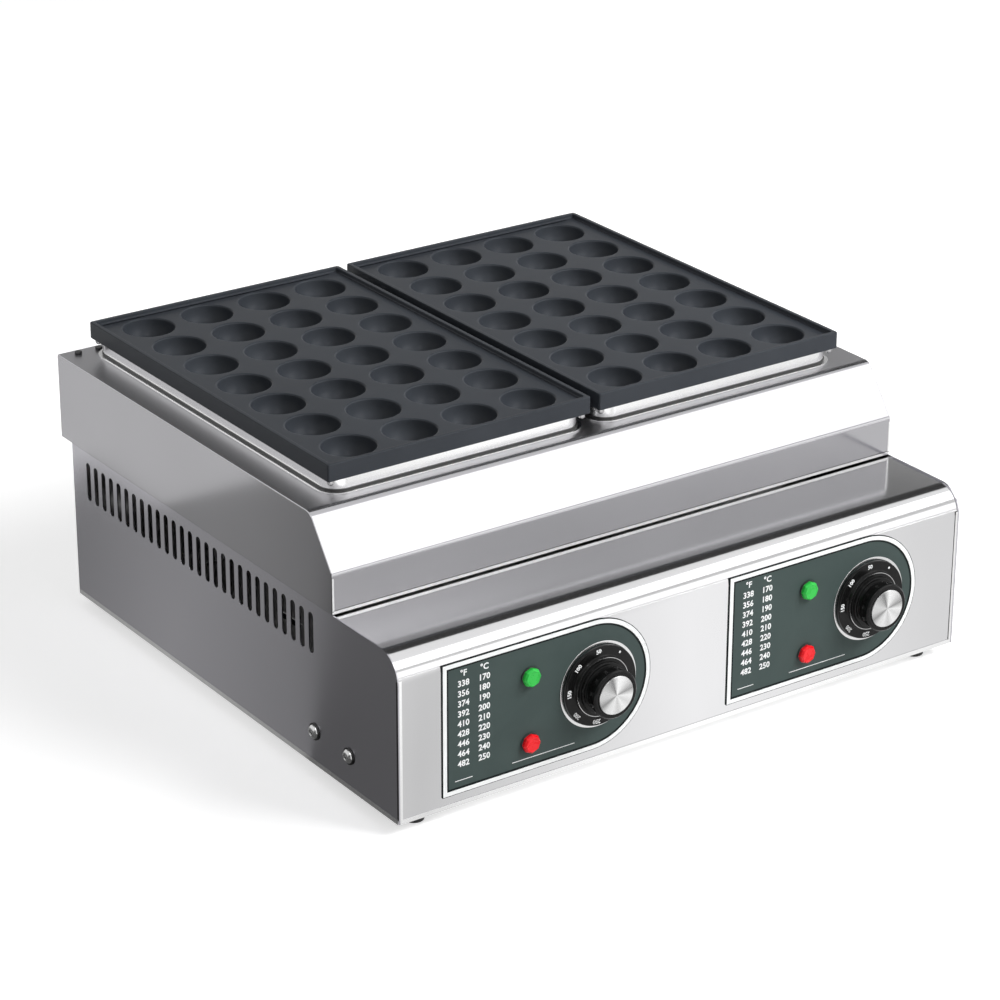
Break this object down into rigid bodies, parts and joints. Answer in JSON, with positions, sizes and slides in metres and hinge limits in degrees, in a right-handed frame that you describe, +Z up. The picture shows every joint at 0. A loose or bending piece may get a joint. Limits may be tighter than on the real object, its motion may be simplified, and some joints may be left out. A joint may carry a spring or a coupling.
{
  "type": "takoyaki maker",
  "caption": "Countertop electric cooker with two lift-off cast plates of round cups on a stepped steel casing, with dial thermostats and lamps.",
  "frame": {"origin": "middle of the whole object's footprint, on the surface that the feet stand on", "axes": "+X to the right and +Y to the back as seen from the front, +Z up"},
  "size_m": [0.4868, 0.4724, 0.2187],
  "materials": {
    "casing_steel": "satin stainless sheet",
    "galvanised_steel": "plain galvanised sheet",
    "hood_steel": "satin stainless sheet",
    "tray_steel": "polished stainless sheet",
    "cast_plate": "seasoned cast iron with a dark grey non-stick face",
    "stud_steel": "turned steel",
    "element_sheath": "oxidised stainless tube",
    "shield_steel": "mill-finish steel",
    "porcelain": "glazed porcelain",
    "mineral_wool": "pressed mineral wool board",
    "plated_steel": "zinc-plated steel",
    "screw_steel": "blackened steel",
    "cream_plastic": "heat-proof moulded resin",
    "copper": "bare copper tube",
    "knob_black": "gloss moulded resin",
    "cap_aluminium": "radially spun aluminium",
    "panel_silver": "printed pale border",
    "panel_green_grey": "satin film",
    "lamp_green": "clear coloured lens",
    "lamp_red": "clear coloured lens",
    "lamp_body": "moulded nylon",
    "wire_silicone": "silicone insulation",
    "gland_plastic": "moulded nylon",
    "brass": "turned brass",
    "foot_rubber": "moulded rubber"
  },
  "bodies": {
    "casing": {"left_side_panel": "casing_steel", "right_side_panel": "casing_steel", "front_panel": "casing_steel", "back_panel": "casing_steel", "base_plate": "galvanised_steel", "hood": "hood_steel", "cross_member": "galvanised_steel", "left_tray": "tray_steel", "right_tray": "tray_steel", "left_element": "element_sheath", "right_element": "element_sheath", "left_element_clamps": "shield_steel", "right_element_clamps": "shield_steel", "left_bushes": "porcelain", "right_bushes": "porcelain", "left_insulation": "mineral_wool", "right_insulation": "mineral_wool", "left_shield": "shield_steel", "right_shield": "shield_steel", "left_shield_bolts": "plated_steel", "right_shield_bolts": "plated_steel", "left_thermostat": "cream_plastic", "right_thermostat": "cream_plastic", "left_capillary": "copper", "right_capillary": "copper", "left_dial_ring": "panel_silver", "right_dial_ring": "panel_silver", "left_panel_field": "panel_green_grey", "right_panel_field": "panel_green_grey", "left_panel_border": "panel_silver", "right_panel_border": "panel_silver", "left_power_lamp": "lamp_green", "left_heat_lamp": "lamp_red", "right_power_lamp": "lamp_green", "right_heat_lamp": "lamp_red", "lamp_bodies": "lamp_body", "lamp_nuts": "plated_steel", "left_wiring": "wire_silicone", "right_wiring": "wire_silicone", "terminal_block": "cream_plastic", "cable_gland": "gland_plastic", "gland_nut": "gland_plastic", "earth_stud": "brass", "front_left_foot": "foot_rubber", "front_right_foot": "foot_rubber", "back_left_foot": "foot_rubber", "back_right_foot": "foot_rubber", "foot_screws": "plated_steel", "side_screws": "plated_steel", "casing_screws": "screw_steel"},
    "left_control": {"left_knob": "knob_black", "left_knob_cap": "cap_aluminium", "left_spindle": "plated_steel"},
    "right_control": {"right_knob": "knob_black", "right_knob_cap": "cap_aluminium", "right_spindle": "plated_steel"},
    "left_cup_plate": {"left_plate": "cast_plate", "left_plate_studs": "stud_steel"},
    "right_cup_plate": {"right_plate": "cast_plate", "right_plate_studs": "stud_steel"}
  },
  "joints": [
    {"name": "left_thermostat_turn", "type": "hinge", "parent": "casing", "child": "left_control", "pos_m": [-0.0798, -0.21525, 0.0665], "axis": [0, 1, 0], "range_deg": [-37, 263]},
    {"name": "right_thermostat_turn", "type": "hinge", "parent": "casing", "child": "right_control", "pos_m": [0.1572, -0.21525, 0.0665], "axis": [0, 1, 0], "range_deg": [-37, 263]},
    {"name": "left_plate_lift", "type": "slide", "parent": "casing", "child": "left_cup_plate", "axis": [0, 0, 1], "range_m": [0, 0.06]},
    {"name": "right_plate_lift", "type": "slide", "parent": "casing", "child": "right_cup_plate", "axis": [0, 0, 1], "range_m": [0, 0.06]}
  ]
}
